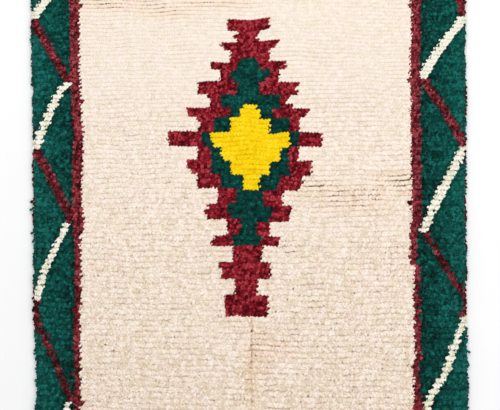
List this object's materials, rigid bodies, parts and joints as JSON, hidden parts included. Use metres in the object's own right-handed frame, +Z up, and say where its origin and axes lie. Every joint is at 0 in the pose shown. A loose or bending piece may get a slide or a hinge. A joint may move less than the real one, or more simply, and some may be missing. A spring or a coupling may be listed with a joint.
{
  "type": "beni ourain rug",
  "caption": "Small hand-knotted wool pile rug with a stepped lozenge medallion and zigzag side borders, lying flat on the floor.",
  "frame": {"origin": "on the floor under the middle of the rug", "axes": "+Y along the warps, the rug's length; +X across the rug to the right, along its rows of knots; +Z up out of the pile"},
  "size_m": [0.9367, 1.5, 0.0186],
  "materials": {
    "cream_wool": "undyed cream wool pile, matt",
    "green_wool": "deep bottle green wool pile, streaked, matt",
    "red_wool": "madder red wool pile, matt",
    "yellow_wool": "clear yellow wool pile, matt",
    "ivory_wool": "ivory wool pile, matt",
    "ground_weave": "flat-woven wool ground, matt"
  },
  "bodies": {
    "root": {"rug": "cream_wool"}
  },
  "joints": []
}
